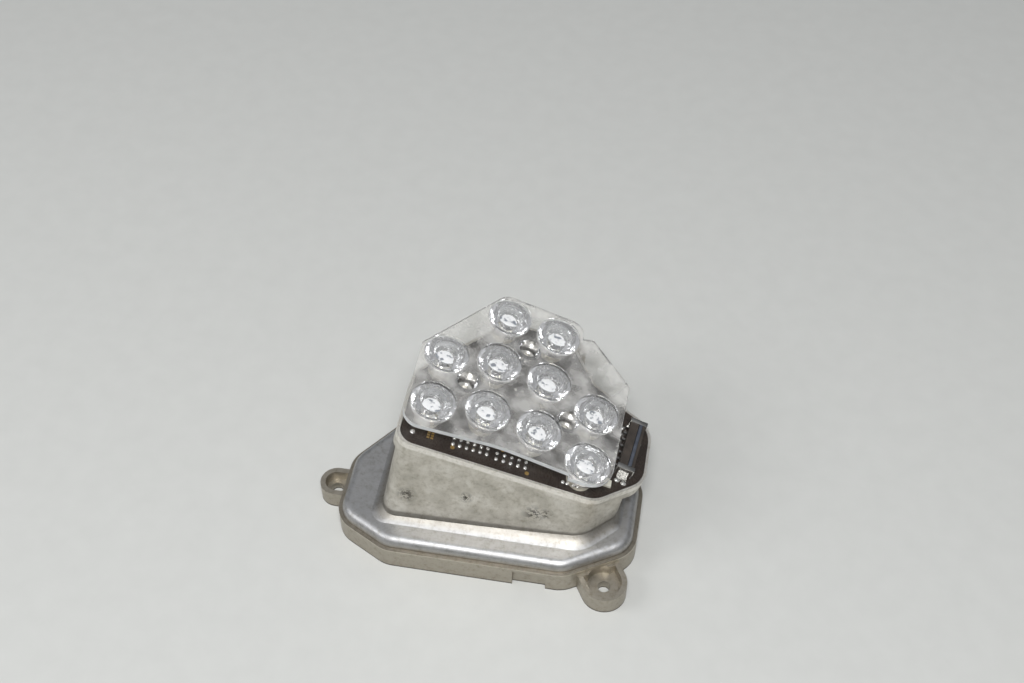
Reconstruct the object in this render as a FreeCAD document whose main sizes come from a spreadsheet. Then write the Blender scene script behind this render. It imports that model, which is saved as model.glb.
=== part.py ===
import FreeCAD, Part
import math
import os
import re
import Sketcher
from FreeCAD import Placement, Rotation, Vector

# LED light module of a car lamp: a die-cast heat sink with a sloping tower, a circuit board
# with ten LEDs on its top, and a clear moulded array of collimator lenses screwed over them.
# Millimetres. +X runs along the flange's front edge, +Y to its back, +Z up from its seat.
# The origin is the centre of the three fixing holes, in the plane of the seat.
# Board sizes are in the board's own frame: u down the slope, v to the back, w off the board.

doc = FreeCAD.newDocument("LedLightModule")
sheet = doc.addObject("Spreadsheet::Sheet", "Sizes")

SIZES = {
    # fixing ears round the flange
    "hole_circle": 98.0, "hole_turn": 76.0, "hole_radius": 1.8, "ear_height": 6.0,
    "ear_floor": 2.6, "ear_wall": 1.5, "ear_reach": 14.0, "pocket_reach": 3.6,
    "seat_radius": 4.0, "seat_rise": 0.5,
    "left_ear_radius": 4.8, "right_ear_radius": 6.4, "back_ear_radius": 6.4,
    "left_ear_inward": 0.0, "right_ear_inward": 121.0, "back_ear_inward": -90.0,
    # flange outline, skirt and shoulder
    "flange_left": -43.9, "flange_right": 42.5, "flange_front": -35.6, "flange_back": 41.0,
    "front_left_x": -27.7, "front_left_y": -27.1, "front_right_x": 23.8, "front_right_y": -24.4,
    "back_right_x": 16.3, "back_right_y": -2.6, "back_left_x": -10.0, "back_left_y": -5.6,
    "skirt_height": 7.5, "flange_top": 10.5, "flange_draft": 8.0, "shoulder_round": 2.5,
    "corner_round": 9.0, "flange_roof": 3.5, "skirt_wall": 4.0,
    "notch_left": 9.3, "notch_right": 18.8, "notch_depth": 1.2, "notch_height": 6.0,
    # tower, leaning to the right, and the sloping shelf that carries the board
    "lean": 11.0, "slope": 15.5, "board_x": 10.3, "board_y": -11.0, "board_z": 31.8,
    "tower_left": -33.0, "tower_right": 33.6, "tower_front": -21.9, "tower_back": 30.6,
    "tower_front_x": 24.9, "tower_front_y": -14.9, "tower_side_y": -4.0, "tower_waist_x": 18.9,
    "tower_waist_y": 17.1, "tower_back_x": 9.2, "tower_chamfer_x": -10.1, "tower_chamfer_y": 1.7,
    "tower_wall": 3.0, "tower_corner": 4.5, "tower_sweep": 9.0,
    "shelf_thickness": 3.2, "shelf_rim": 0.9, "board_gap": 0.15, "root_bend": 0.3,
    "root_front": 2.4, "root_left": 2.4, "root_right": 2.0, "root_back": 1.5, "root_rise": 3.0,
    "root_sink": 0.5, "front_draft": 6.4,
    # cooling fins inside
    "fin_pitch": 8.0, "fin_thickness": 2.0, "fin_count": 8, "fin_first": -30.0, "fin_foot": 2.0,
    # board
    "board_thickness": 1.6, "board_left": -36.3, "board_right": 32.9, "board_front": -10.5,
    "board_back": 41.3, "board_corner": 4.5, "board_front_x": 20.3, "board_front_y": 0.4,
    "board_side_y": 19.0, "board_waist_x": 14.3, "board_waist_y": 28.0, "board_back_x": 4.8,
    "board_chamfer_x": -13.8, "board_chamfer_y": 12.9, "board_sweep": 8.0,
    # lens array
    "lens_pitch": 15.0, "row_pitch": 17.5, "row_radius": 54.5, "row_apex_u": -12.4, "row_apex_v": 1.55,
    "plate_bottom": 7.0, "plate_top": 8.4, "rim_top": 9.2, "rim_radius": 6.4, "rim_round": 0.4,
    "well_radius": 3.8, "well_floor_radius": 3.2, "well_floor": 6.8, "well_crown": 0.5,
    "well_round": 4.0, "cone_foot": 1.2, "cone_foot_radius": 2.7, "cone_middle": 3.2,
    "cone_middle_radius": 4.6, "cone_round": 8.0, "cavity_radius": 1.9, "cavity_top_radius": 1.7,
    "cavity_depth": 2.6, "cavity_crown": 0.5, "plate_left": -37.4, "plate_front": -9.0,
    "plate_dip": 1.8, "plate_middle_u": -9.5, "plate_sweep": 60.0, "plate_corner": 5.0,
    "plate_lobe": 7.3, "lobe_round": 7.0, "plate_right": 23.2, "wing_u": 10.4, "wing_v": 38.0,
    "wing_side_v": 25.0, "wing_corner": 1.0, "notch_step": 0.8, "plate_back": 44.6, "plate_slant": 2.1,
    "plate_chamfer_v": 17.8, "plate_chamfer_u": -17.6, "back_round": 4.5, "lip_u": 10.5, "lip_rise": 1.6,
    "tube_radius": 3.7, "tube_bore": 3.0, "tube_floor": 3.0,
    # lens screws
    "screw_radius": 1.1, "screw_clearance": 0.25, "screw_head_radius": 2.6, "screw_head_height": 1.7,
    "screw_head_round": 0.8, "screw_length": 7.4, "screw_socket": 1.2, "socket_depth": 0.9,
    "pilot_clearance": 0.05, "pilot_gap": 0.2,
    # LEDs
    "led_side": 3.2, "led_base": 0.5, "led_dome_radius": 1.3, "led_dome_height": 0.7, "led_dome_round": 0.6,
    # board connector
    "connector_u": 24.7, "connector_v": 0.6, "connector_width": 4.4, "connector_length": 17.5,
    "connector_height": 3.4, "connector_turn": -6.0, "connector_wall": 0.8, "connector_slot": 1.2,
    "slot_depth": 2.0, "contact_pitch": 2.4, "contact_first": 1.2, "contact_width": 0.7, "contact_sheet": 0.3,
    "contact_reach": 0.9, "contact_height": 1.3, "contact_foot": 0.9, "contact_count": 7,
    "anchor_width": 3.0, "anchor_sheet": 0.4, "anchor_foot": 1.6, "anchor_height": 2.4, "anchor_inset": 0.7,
    # chips on the board
    "resistor_width": 0.8, "resistor_length": 1.6, "chip_height": 0.45,
    "first_row_u": -21.3, "first_row_v": -6.05, "first_row_pitch": 1.94, "first_row_count": 6,
    "second_row_u": -8.8, "second_row_v": -6.6, "second_row_pitch": 2.1, "second_row_count": 5,
    "thermistor_u": -6.8, "thermistor_v": 17.6, "square_chip_side": 2.2, "square_chip_height": 0.7,
    "square_chip_u": 23.0, "square_chip_v": -4.2, "capacitor_u": 11.3, "capacitor_v": -8.3,
    "capacitor_pitch": 3.1, "capacitor_length": 1.0, "capacitor_width": 0.5,
}
for row, (alias, size) in enumerate(SIZES.items(), start=1):
    sheet.set(f"A{row}", alias)
    sheet.set(f"B{row}", str(size))
    sheet.setAlias(f"B{row}", alias)
doc.recompute()


def named(text):
    """Turn a sum of size names into an expression that reads them from the sheet."""
    return re.sub(r"[a-z_]+", lambda word: f"Sizes.{word[0]}" if word[0] in SIZES else word[0], text)


def number(text):
    return float(sheet.evalExpression(named(text)))


def bind(thing, path, text):
    thing.setExpression(path, named(text))


def new_body(label):
    body = doc.addObject("PartDesign::Body", label)
    body.Label = label
    return body


def on_board(thing, u="0", v="0", w="0", turn="0"):
    """Place a piece by its spot in the board's frame: down the slope, to the back, off the board."""
    upright = Rotation(Vector(0, 1, 0), number("slope"))
    thing.Placement = Placement(Vector(), upright.multiply(Rotation(Vector(0, 0, 1), number(turn))))
    bind(thing, "Placement.Base.x", f"board_x + ({u}) * cos(slope) + ({w}) * sin(slope)")
    bind(thing, "Placement.Base.y", f"board_y + {v}")
    bind(thing, "Placement.Base.z", f"board_z - ({u}) * sin(slope) + ({w}) * cos(slope)")


def sketch_on(body, name, plane="XY_Plane", offset=("0", "0", "0"), tilt=None):
    """A sketch on one of the body's own planes, moved by an offset and turned about its Y axis."""
    sketch = body.newObject("Sketcher::SketchObject", name)
    support = [part for part in body.Origin.OriginFeatures if part.Role == plane][0]
    sketch.AttachmentSupport = [(support, "")]
    sketch.MapMode = "FlatFace"
    if tilt:
        sketch.AttachmentOffset = Placement(Vector(), Rotation(Vector(0, 1, 0), number(tilt)))
        bind(sketch, "AttachmentOffset.Rotation.Angle", tilt)
    for axis, text in zip("xyz", offset):
        bind(sketch, f"AttachmentOffset.Base.{axis}", text)
    return sketch


def pin_point(sketch, geometry, position, x_text, y_text):
    for kind, text in (("DistanceX", x_text), ("DistanceY", y_text)):
        rule = Sketcher.Constraint(kind, -1, 1, geometry, position, number(text))
        bind(sketch, f"Constraints[{sketch.addConstraint(rule)}]", text)


def circle(sketch, x_text, y_text, radius_text):
    shape = Part.Circle(Vector(number(x_text), number(y_text)), Vector(0, 0, 1), number(radius_text))
    geometry = sketch.addGeometry(shape)
    pin_point(sketch, geometry, 3, x_text, y_text)
    index = sketch.addConstraint(Sketcher.Constraint("Radius", geometry, number(radius_text)))
    bind(sketch, f"Constraints[{index}]", radius_text)


def outline(sketch, corners):
    """A closed outline through named corners, each given as x, y and the radius that rounds it."""
    spots = [Vector(number(x), number(y)) for x, y, radius in corners]
    rounds = [number(radius) for x, y, radius in corners]
    count = len(corners)
    leaves, enters, bends = [], [], []
    for index in range(count):
        here = spots[index]
        back = (spots[index - 1] - here).normalize()
        ahead = (spots[(index + 1) % count] - here).normalize()
        half = back.getAngle(ahead) / 2
        reach = rounds[index] / math.tan(half)
        enters.append(here + back * reach)
        leaves.append(here + ahead * reach)
        middle = (back + ahead).normalize()
        bends.append((here + middle * (rounds[index] / math.sin(half)), back.cross(ahead).z < 0))
    lines = []
    for index in range(count):
        edge = Part.LineSegment(leaves[index], enters[(index + 1) % count])
        lines.append(sketch.addGeometry(edge))
    for index, (x_text, y_text, radius_text) in enumerate(corners):
        before, after = lines[index - 1], lines[index]
        if rounds[index] == 0:
            sketch.addConstraint(Sketcher.Constraint("Coincident", before, 2, after, 1))
            pin_point(sketch, after, 1, x_text, y_text)
            continue
        centre, turns_left = bends[index]
        ends = (enters[index], leaves[index]) if turns_left else (leaves[index], enters[index])
        round_edge = Part.Circle(centre, Vector(0, 0, 1), rounds[index])
        arc = Part.ArcOfCircle(round_edge, round_edge.parameter(ends[0]), round_edge.parameter(ends[1]))
        bend = sketch.addGeometry(arc)
        first, last = (1, 2) if turns_left else (2, 1)
        sketch.addConstraint(Sketcher.Constraint("Tangent", before, 2, bend, first))
        sketch.addConstraint(Sketcher.Constraint("Tangent", bend, last, after, 1))
        size = sketch.addConstraint(Sketcher.Constraint("Radius", bend, rounds[index]))
        bind(sketch, f"Constraints[{size}]", radius_text)
        corner = sketch.addGeometry(Part.Point(spots[index]), True)
        sketch.addConstraint(Sketcher.Constraint("PointOnObject", corner, 1, before))
        sketch.addConstraint(Sketcher.Constraint("PointOnObject", corner, 1, after))
        pin_point(sketch, corner, 1, x_text, y_text)


def polygon(sketch, points):
    outline(sketch, [(x, y, "0") for x, y in points])


def rectangle(sketch, left, front, right, back):
    polygon(sketch, [(left, front), (right, front), (right, back), (left, back)])


def pad(body, name, sketch, length, down=False):
    feature = body.newObject("PartDesign::Pad", name)
    feature.Profile = sketch
    feature.Reversed = down
    bind(feature, "Length", length)
    doc.recompute()
    return feature


def pocket(body, name, sketch, depth, up=False):
    before = body.Shape.Volume
    feature = body.newObject("PartDesign::Pocket", name)
    feature.Profile = sketch
    feature.Reversed = up
    bind(feature, "Length", depth)
    doc.recompute()
    if body.Shape.Volume > before - 1e-6:
        raise RuntimeError(f"{name} cuts nothing")
    return feature


def turned(body, name, sketch, kind="PartDesign::Revolution"):
    feature = body.newObject(kind, name)
    feature.Profile = sketch
    feature.ReferenceAxis = (sketch, ["V_Axis"])
    feature.Angle = 360
    doc.recompute()
    return feature


def lofted(body, name, first, *others):
    """A solid that runs from one outline through the others: straight between two, bent through more."""
    feature = body.newObject("PartDesign::AdditiveLoft", name)
    feature.Profile = first
    feature.Sections = list(others)
    feature.Ruled = len(others) == 1
    doc.recompute()
    return feature


def round_edges(body, name, base, radius, chosen):
    feature = body.newObject("PartDesign::Fillet", name)
    edges = [f"Edge{index}" for index, edge in enumerate(base.Shape.Edges, start=1) if chosen(edge)]
    feature.Base = (base, edges)
    bind(feature, "Radius", radius)
    doc.recompute()
    return feature


def at_height(text):
    height = number(text)
    return lambda edge: all(abs(vertex.Z - height) < 0.01 for vertex in edge.Vertexes)


# Die-cast housing: flange with its skirt and shoulder, ears, leaning tower and board shelf.
# A corner is x, y, its rounding, and the way it moves when the outline steps in or out.
FLANGE = [
    ("front_left_x", "flange_front", "corner_round", 0.25, 1),
    ("front_right_x", "flange_front", "corner_round", -0.28, 1),
    ("flange_right", "front_right_y", "corner_round", -1, 0.57),
    ("flange_right", "back_right_y", "corner_round", -1, -0.28),
    ("back_right_x", "flange_back", "corner_round", -0.57, -1),
    ("back_left_x", "flange_back", "corner_round", 0.51, -1),
    ("flange_left", "back_left_y", "corner_round", 1, -0.33),
    ("flange_left", "front_left_y", "corner_round", 1, 0.6),
]
TOWER = [
    ("tower_left", "tower_front", "tower_corner", 1, 1),
    ("tower_front_x", "tower_front", "tower_sweep", -0.36, 1),
    ("tower_right", "tower_front_y", "tower_corner", -1, 0.47),
    ("tower_right", "tower_side_y", "tower_corner", -1, -0.31),
    ("tower_waist_x", "tower_waist_y", "tower_corner", -0.82, -0.57),
    ("tower_back_x", "tower_back", "tower_corner", -0.53, -1),
    ("tower_chamfer_x", "tower_back", "tower_corner", 0.49, -1),
    ("tower_left", "tower_chamfer_y", "tower_corner", 1, -0.34),
]
BOARD = [
    ("board_left", "board_front", "board_corner", -1, -1),
    ("board_front_x", "board_front", "board_sweep", 0.36, -1),
    ("board_right", "board_front_y", "board_sweep", 1, -0.47),
    ("board_right", "board_side_y", "board_sweep", 1, 0.62),
    ("board_waist_x", "board_waist_y", "board_corner", 0.6, 0.8),
    ("board_back_x", "board_back", "board_corner", 0.5, 1),
    ("board_chamfer_x", "board_back", "board_corner", -0.49, 1),
    ("board_left", "board_chamfer_y", "board_corner", -1, 0.34),
]
# How far each corner of the tower takes part in the draft of its front
FRONT_SHARE = [1, 1, 0.6, 0, 0, 0, 0, 0]
# The way each corner of the tower spreads out at its root
ROOT = [
    ("-root_left", "-root_front"),
    ("root_right / 2", "-root_front"),
    ("root_right", "-root_front / 2"),
    ("root_right", "root_right / 3"),
    ("root_back", "root_back / 2"),
    ("root_back / 2", "root_back"),
    ("-root_back / 2", "root_back"),
    ("-root_left", "root_back / 3"),
]
EARS = [
    ("back", "hole_turn", "back_ear_radius", "back_ear_inward"),
    ("left", "hole_turn + 120", "left_ear_radius", "left_ear_inward"),
    ("right", "hole_turn + 240", "right_ear_radius", "right_ear_inward"),
]
LENS_GRID = [(-2, 0), (-1, 0), (0, 0), (1, 0), (-2, 1), (-1, 1), (0, 1), (1, 1), (-1, 2), (0, 2)]
SCREW_GRID = [(-1.5, 0.5), (-0.5, 1.5), (0.5, 0.5)]


def plain(corners):
    return [corner[:3] for corner in corners]


def moved(corners, step):
    """The same outline with every side moved in or out by a named step."""
    return [(f"{x} + {dx} * {step}", f"{y} + {dy} * {step}", radius) for x, y, radius, dx, dy in corners]


def ear_centre(turn):
    return f"hole_circle / 2 * cos({turn})", f"hole_circle / 2 * sin({turn})"


def ear_strip(sketch, turn, half_width, reach, inward):
    """A strip from an ear's centre in towards the flange."""
    x, y = ear_centre(turn)
    ends = []
    for along, side in (("0", "-1"), (reach, "-1"), (reach, "1"), ("0", "1")):
        ends.append((f"{x} + {along} * cos({inward}) - ({side}) * ({half_width}) * sin({inward})",
                     f"{y} + {along} * sin({inward}) + ({side}) * ({half_width}) * cos({inward})"))
    polygon(sketch, ends)


def grid_spot(column, row):
    """A place in the lens grid: straight columns, and rows that follow one arc."""
    u = f"{column} * lens_pitch"
    sagitta = f"(row_radius - sqrt(row_radius ^ 2 - ({u} - row_apex_u) ^ 2))"
    return u, f"{row} * row_pitch + row_apex_v - {sagitta}"


def board_level(depth):
    """Offset of a sloping sketch that lies a named depth under the board's top."""
    return f"board_x - ({depth}) * sin(slope)", "board_y", f"board_z - ({depth}) * cos(slope)"


def drafted(corners, share):
    """The tower's corners with a share of the draft that brings its front out towards the foot."""
    return [(x, f"{y} - {share} * {forward} * front_draft", radius)
            for (x, y, radius), forward in zip(corners, FRONT_SHARE)]


def leaning_tower(body, name, corners, depth):
    """A tower from the seat up along its lean to a sloping plane a depth under the board's top."""
    foot = f"(board_x - ({depth}) * sin(slope) - (board_z - ({depth}) * cos(slope)) * tan(lean))"
    stretch = "cos(lean) / cos(slope - lean)"
    top_corners = [(f"({x} - {foot}) * {stretch}", f"{y} - board_y", radius) for x, y, radius in corners]
    foot_sketch = sketch_on(body, f"{name}Foot")
    outline(foot_sketch, drafted(corners, "1"))
    top_sketch = sketch_on(body, f"{name}Top", offset=board_level(depth), tilt="slope")
    outline(top_sketch, top_corners)
    return lofted(body, name, foot_sketch, top_sketch)


casting = new_body("housing_casting")
skirt_sketch = sketch_on(casting, "SkirtOutline")
outline(skirt_sketch, plain(FLANGE))
pad(casting, "Skirt", skirt_sketch, "skirt_height")
shoulder_sketch = sketch_on(casting, "ShoulderOutline")
outline(shoulder_sketch, plain(FLANGE))
shoulder = pad(casting, "Shoulder", shoulder_sketch, "flange_top")
bind(shoulder, "TaperAngle", "-flange_draft")
doc.recompute()
round_edges(casting, "ShoulderRound", shoulder, "shoulder_round", at_height("flange_top"))
for side, turn, radius, inward in EARS:
    tab_sketch = sketch_on(casting, f"{side}TabOutline")
    ear_strip(tab_sketch, turn, radius, "ear_reach", inward)
    pad(casting, f"{side}Tab", tab_sketch, "ear_height")
    ear_sketch = sketch_on(casting, f"{side}EarOutline")
    circle(ear_sketch, *ear_centre(turn), radius)
    pad(casting, f"{side}Ear", ear_sketch, "ear_height")
    recess_sketch = sketch_on(casting, f"{side}RecessOutline", offset=("0", "0", "ear_height"))
    circle(recess_sketch, *ear_centre(turn), f"{radius} - ear_wall")
    pocket(casting, f"{side}Recess", recess_sketch, "ear_height - ear_floor")
    strip_sketch = sketch_on(casting, f"{side}StripOutline", offset=("0", "0", "ear_height"))
    ear_strip(strip_sketch, turn, f"{radius} - ear_wall", "pocket_reach", inward)
    pocket(casting, f"{side}Strip", strip_sketch, "ear_height - ear_floor")
    if number(f"{radius} - ear_wall - seat_radius") > 0:
        boss_sketch = sketch_on(casting, f"{side}SeatOutline", offset=("0", "0", "ear_floor"))
        circle(boss_sketch, *ear_centre(turn), "seat_radius")
        pad(casting, f"{side}Seat", boss_sketch, "seat_rise")
    hole_sketch = sketch_on(casting, f"{side}HoleOutline", offset=("0", "0", "ear_height"))
    circle(hole_sketch, *ear_centre(turn), "hole_radius")
    pocket(casting, f"{side}Hole", hole_sketch, "ear_height")
notch_sketch = sketch_on(casting, "NotchOutline")
rectangle(notch_sketch, "notch_left", "flange_front - notch_depth",
          "notch_right", "flange_front + notch_depth")
pocket(casting, "FrontNotch", notch_sketch, "notch_height", up=True)
leaning_tower(casting, "Tower", plain(TOWER), "board_thickness")
root_sketches = []
for level, (height, share) in enumerate((("0", "1"), ("root_bend", "root_bend"), ("1", "-root_sink"))):
    rise = f"(flange_top + {height} * root_rise)"
    draft_left = f"(1 - {rise} / board_z)"
    root_sketch = sketch_on(casting, f"RootOutline{level}", offset=("0", "0", rise))
    outline(root_sketch, [(f"{x} + {rise} * tan(lean) + {share} * {dx}", f"{y} + {share} * {dy}", radius)
                          for (x, y, radius), (dx, dy) in zip(drafted(plain(TOWER), draft_left), ROOT)])
    root_sketches.append(root_sketch)
lofted(casting, "TowerRoot", root_sketches[0], *root_sketches[1:])
shelf_sketch = sketch_on(casting, "ShelfOutline", offset=board_level("0"), tilt="slope")
outline(shelf_sketch, moved(BOARD, "shelf_rim"))
pad(casting, "Shelf", shelf_sketch, "board_thickness + shelf_thickness", down=True)
seat_sketch = sketch_on(casting, "BoardSeatOutline", offset=board_level("0"), tilt="slope")
outline(seat_sketch, moved(BOARD, "board_gap"))
pocket(casting, "BoardSeat", seat_sketch, "board_thickness")
pilot_sketch = sketch_on(casting, "PilotHoles", offset=board_level("board_thickness"), tilt="slope")
for spot in SCREW_GRID:
    circle(pilot_sketch, *grid_spot(*spot), "screw_radius + pilot_clearance")
pocket(casting, "Pilots", pilot_sketch, "screw_length - tube_floor - board_thickness + pilot_gap")

# Hollow of the housing, open below, with the cooling fins left standing in it
hollow = new_body("housing_hollow")
leaning_tower(hollow, "TowerHollow", moved(TOWER, "tower_wall"), "board_thickness + shelf_thickness")
tray_sketch = sketch_on(hollow, "TrayOutline")
outline(tray_sketch, moved(FLANGE, "skirt_wall"))
pad(hollow, "Tray", tray_sketch, "flange_top - flange_roof")
fin_sketch = sketch_on(hollow, "FinOutline", offset=("0", "0", "fin_foot"))
rectangle(fin_sketch, "fin_first", "flange_front", "fin_first + fin_thickness", "flange_back")
fin = pocket(hollow, "Fin", fin_sketch, "2 * board_z", up=True)
fins = hollow.newObject("PartDesign::LinearPattern", "Fins")
fins.Originals = [fin]
fins.Direction = (fin_sketch, ["H_Axis"])
bind(fins, "Length", "fin_pitch * (fin_count - 1)")
bind(fins, "Occurrences", "fin_count")
hollow.Tip = fins
doc.recompute()
housing = doc.addObject("Part::Cut", "heat_sink_housing")
housing.Base = casting
housing.Tool = hollow
housing.Label = "heat_sink_housing"
doc.recompute()

pieces = [housing]


def new_piece(label, u="0", v="0", w="0", turn="0"):
    body = new_body(label)
    on_board(body, u, v, w, turn)
    pieces.append(body)
    return body


# Circuit board, screwed down on the shelf together with the lenses
board = new_piece("led_board", w="-board_thickness")
board_sketch = sketch_on(board, "BoardOutline")
outline(board_sketch, plain(BOARD))
pad(board, "Laminate", board_sketch, "board_thickness")
board_holes = sketch_on(board, "BoardHoles", offset=("0", "0", "board_thickness"))
for spot in SCREW_GRID:
    circle(board_holes, *grid_spot(*spot), "screw_radius + screw_clearance")
pocket(board, "ScrewHoles", board_holes, "board_thickness")

# Clear lens array: one moulding of plate, collimator cones with their wells, and screw tubes
lenses = new_piece("lens_array")
plate_sketch = sketch_on(lenses, "PlateOutline", offset=("0", "0", "plate_bottom"))
outline(plate_sketch, [
    ("plate_left", "plate_front - plate_dip", "plate_corner"),
    ("plate_middle_u", "plate_front", "plate_sweep"),
    ("lip_u", "plate_front - plate_dip", "0"),
    ("lip_u", "plate_front - plate_dip - lip_rise", "0"),
    ("lens_pitch + plate_lobe", "plate_front - plate_dip - lip_rise", "lobe_round"),
    ("plate_right", "wing_side_v", "wing_corner"),
    ("wing_u", "wing_v", "wing_corner"),
    ("plate_lobe", "wing_v - notch_step", "0"),
    ("plate_lobe", "plate_back - plate_slant", "back_round"),
    ("plate_chamfer_u", "plate_back", "back_round"),
    ("plate_left", "plate_chamfer_v", "wing_corner"),
])
pad(lenses, "Plate", plate_sketch, "plate_top - plate_bottom")
CONE = [
    ("0", "cone_foot", "0"),
    ("cone_foot_radius", "cone_foot", "0"),
    ("cone_middle_radius", "cone_middle", "cone_round"),
    ("rim_radius", "plate_bottom", "0"),
    ("rim_radius", "rim_top", "rim_round"),
    ("0", "rim_top", "0"),
]
WELL = [
    ("0", "well_floor + well_crown", "0"),
    ("well_floor_radius / 2", "well_floor + well_crown", "well_round"),
    ("well_floor_radius", "well_floor", "0"),
    ("well_radius", "rim_top", "0"),
    ("0", "rim_top", "0"),
]
CAVITY = [
    ("0", "cone_foot", "0"),
    ("cavity_radius", "cone_foot", "0"),
    ("cavity_top_radius", "cone_foot + cavity_depth", "0"),
    ("0", "cone_foot + cavity_depth - cavity_crown", "0"),
]
for count, spot in enumerate(LENS_GRID, start=1):
    u, v = grid_spot(*spot)
    for name, profile, kind in (
        ("Cone", CONE, "PartDesign::Revolution"),
        ("Well", WELL, "PartDesign::Groove"),
        ("Cavity", CAVITY, "PartDesign::Groove"),
    ):
        profile_sketch = sketch_on(lenses, f"{name}Profile{count}", "XZ_Plane", (u, "0", f"-({v})"))
        outline(profile_sketch, profile)
        turned(lenses, f"{name}{count}", profile_sketch, kind)
tube_sketch = sketch_on(lenses, "TubeOutlines")
bore_sketch = sketch_on(lenses, "TubeBores", offset=("0", "0", "plate_top"))
tube_hole_sketch = sketch_on(lenses, "TubeHoles", offset=("0", "0", "tube_floor"))
for spot in SCREW_GRID:
    circle(tube_sketch, *grid_spot(*spot), "tube_radius")
    circle(bore_sketch, *grid_spot(*spot), "tube_bore")
    circle(tube_hole_sketch, *grid_spot(*spot), "screw_radius + screw_clearance")
pad(lenses, "Tubes", tube_sketch, "plate_bottom")
pocket(lenses, "Bores", bore_sketch, "plate_top - tube_floor")
pocket(lenses, "Holes", tube_hole_sketch, "tube_floor")

# LEDs: a ceramic base with a resin dome, one under each collimator
for count, spot in enumerate(LENS_GRID, start=1):
    led = new_piece(f"led_{count:02d}", *grid_spot(*spot))
    base_sketch = sketch_on(led, f"LedBase{count}")
    rectangle(base_sketch, "-led_side / 2", "-led_side / 2", "led_side / 2", "led_side / 2")
    pad(led, f"Base{count}", base_sketch, "led_base")
    dome_sketch = sketch_on(led, f"LedDome{count}", offset=("0", "0", "led_base"))
    circle(dome_sketch, "0", "0", "led_dome_radius")
    dome = pad(led, f"Dome{count}", dome_sketch, "led_dome_height")
    dome_top = number("led_base + led_dome_height")
    round_edges(led, f"DomeRound{count}", dome, "led_dome_round",
                lambda edge: abs(edge.CenterOfMass.z - dome_top) < 0.001)

# Lens screws: pan heads with a six-sided socket, seated on the floors of the tubes
for count, spot in enumerate(SCREW_GRID, start=1):
    screw = new_piece(f"lens_screw_{count}", *grid_spot(*spot), w="tube_floor")
    screw_sketch = sketch_on(screw, f"ScrewProfile{count}", "XZ_Plane")
    outline(screw_sketch, [
        ("0", "-screw_length", "0"),
        ("screw_radius", "-screw_length", "0"),
        ("screw_radius", "0", "0"),
        ("screw_head_radius", "0", "0"),
        ("screw_head_radius", "screw_head_height", "screw_head_round"),
        ("0", "screw_head_height", "0"),
    ])
    turned(screw, f"Screw{count}", screw_sketch)
    socket_sketch = sketch_on(screw, f"SocketOutline{count}", offset=("0", "0", "screw_head_height"))
    polygon(socket_sketch, [(f"screw_socket * cos({60 * side})", f"screw_socket * sin({60 * side})")
                            for side in range(6)])
    pocket(screw, f"Socket{count}", socket_sketch, "socket_depth")

# Board connector: a moulded socket, its row of formed contacts and an anchor at each end
CONNECTOR = ("connector_u", "connector_v", "0", "connector_turn")
connector = new_piece("connector_housing", *CONNECTOR)
shell_sketch = sketch_on(connector, "ShellOutline")
rectangle(shell_sketch, "0", "0", "connector_width", "connector_length")
pad(connector, "Shell", shell_sketch, "connector_height")
slot_sketch = sketch_on(connector, "SlotOutline", offset=("0", "0", "connector_height"))
rectangle(slot_sketch, "connector_width - connector_wall - connector_slot", "connector_wall",
          "connector_width - connector_wall", "connector_length - connector_wall")
pocket(connector, "CableSlot", slot_sketch, "slot_depth")
for count in range(1, SIZES["contact_count"] + 1):
    contact = new_piece(f"contact_{count}", *CONNECTOR)
    start = f"contact_first + {count - 1} * contact_pitch"
    contact_sketch = sketch_on(contact, f"ContactProfile{count}", "XZ_Plane", ("0", "0", f"-({start})"))
    polygon(contact_sketch, [
        ("0", "contact_height"),
        ("0", "contact_height + contact_sheet"),
        ("-contact_reach", "contact_height + contact_sheet"),
        ("-contact_reach", "contact_sheet"),
        ("-contact_reach - contact_foot", "contact_sheet"),
        ("-contact_reach - contact_foot", "0"),
        ("contact_sheet - contact_reach", "0"),
        ("contact_sheet - contact_reach", "contact_height"),
    ])
    pad(contact, f"Contact{count}", contact_sketch, "contact_width", down=True)
for count, (wall, way) in enumerate((("0", "-1"), ("connector_length", "1")), start=1):
    anchor = new_piece(f"connector_anchor_{count}", *CONNECTOR)
    anchor_sketch = sketch_on(anchor, f"AnchorProfile{count}", "YZ_Plane", ("0", "0", "anchor_inset"))
    polygon(anchor_sketch, [
        (wall, "0"),
        (wall, "anchor_height"),
        (f"{wall} + {way} * anchor_sheet", "anchor_height"),
        (f"{wall} + {way} * anchor_sheet", "anchor_sheet"),
        (f"{wall} + {way} * (anchor_sheet + anchor_foot)", "anchor_sheet"),
        (f"{wall} + {way} * (anchor_sheet + anchor_foot)", "0"),
    ])
    pad(anchor, f"Anchor{count}", anchor_sketch, "anchor_width")


def chip(label, u, v, width, length, height):
    """A small flat part soldered to the board, placed by its middle."""
    body = new_piece(label, u, v)
    sketch = sketch_on(body, f"{label}_outline")
    rectangle(sketch, f"-{width} / 2", f"-{length} / 2", f"{width} / 2", f"{length} / 2")
    pad(body, f"{label}_body", sketch, height)


# Chips on the board: two rows of resistors, a thermistor, two capacitors and a square chip
count = 0
for row_name in ("first_row", "second_row"):
    for place in range(SIZES[f"{row_name}_count"]):
        count += 1
        chip(f"resistor_{count:02d}", f"{row_name}_u + {place} * {row_name}_pitch", f"{row_name}_v",
             "resistor_width", "resistor_length", "chip_height")
for place in range(2):
    chip(f"capacitor_{place + 1}", f"capacitor_u + {place} * capacitor_pitch", "capacitor_v",
         "capacitor_length", "capacitor_width", "chip_height")
chip("thermistor", "thermistor_u", "thermistor_v", "resistor_length", "resistor_width", "chip_height")
chip("square_chip", "square_chip_u", "square_chip_v", "square_chip_side", "square_chip_side",
     "square_chip_height")

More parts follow.
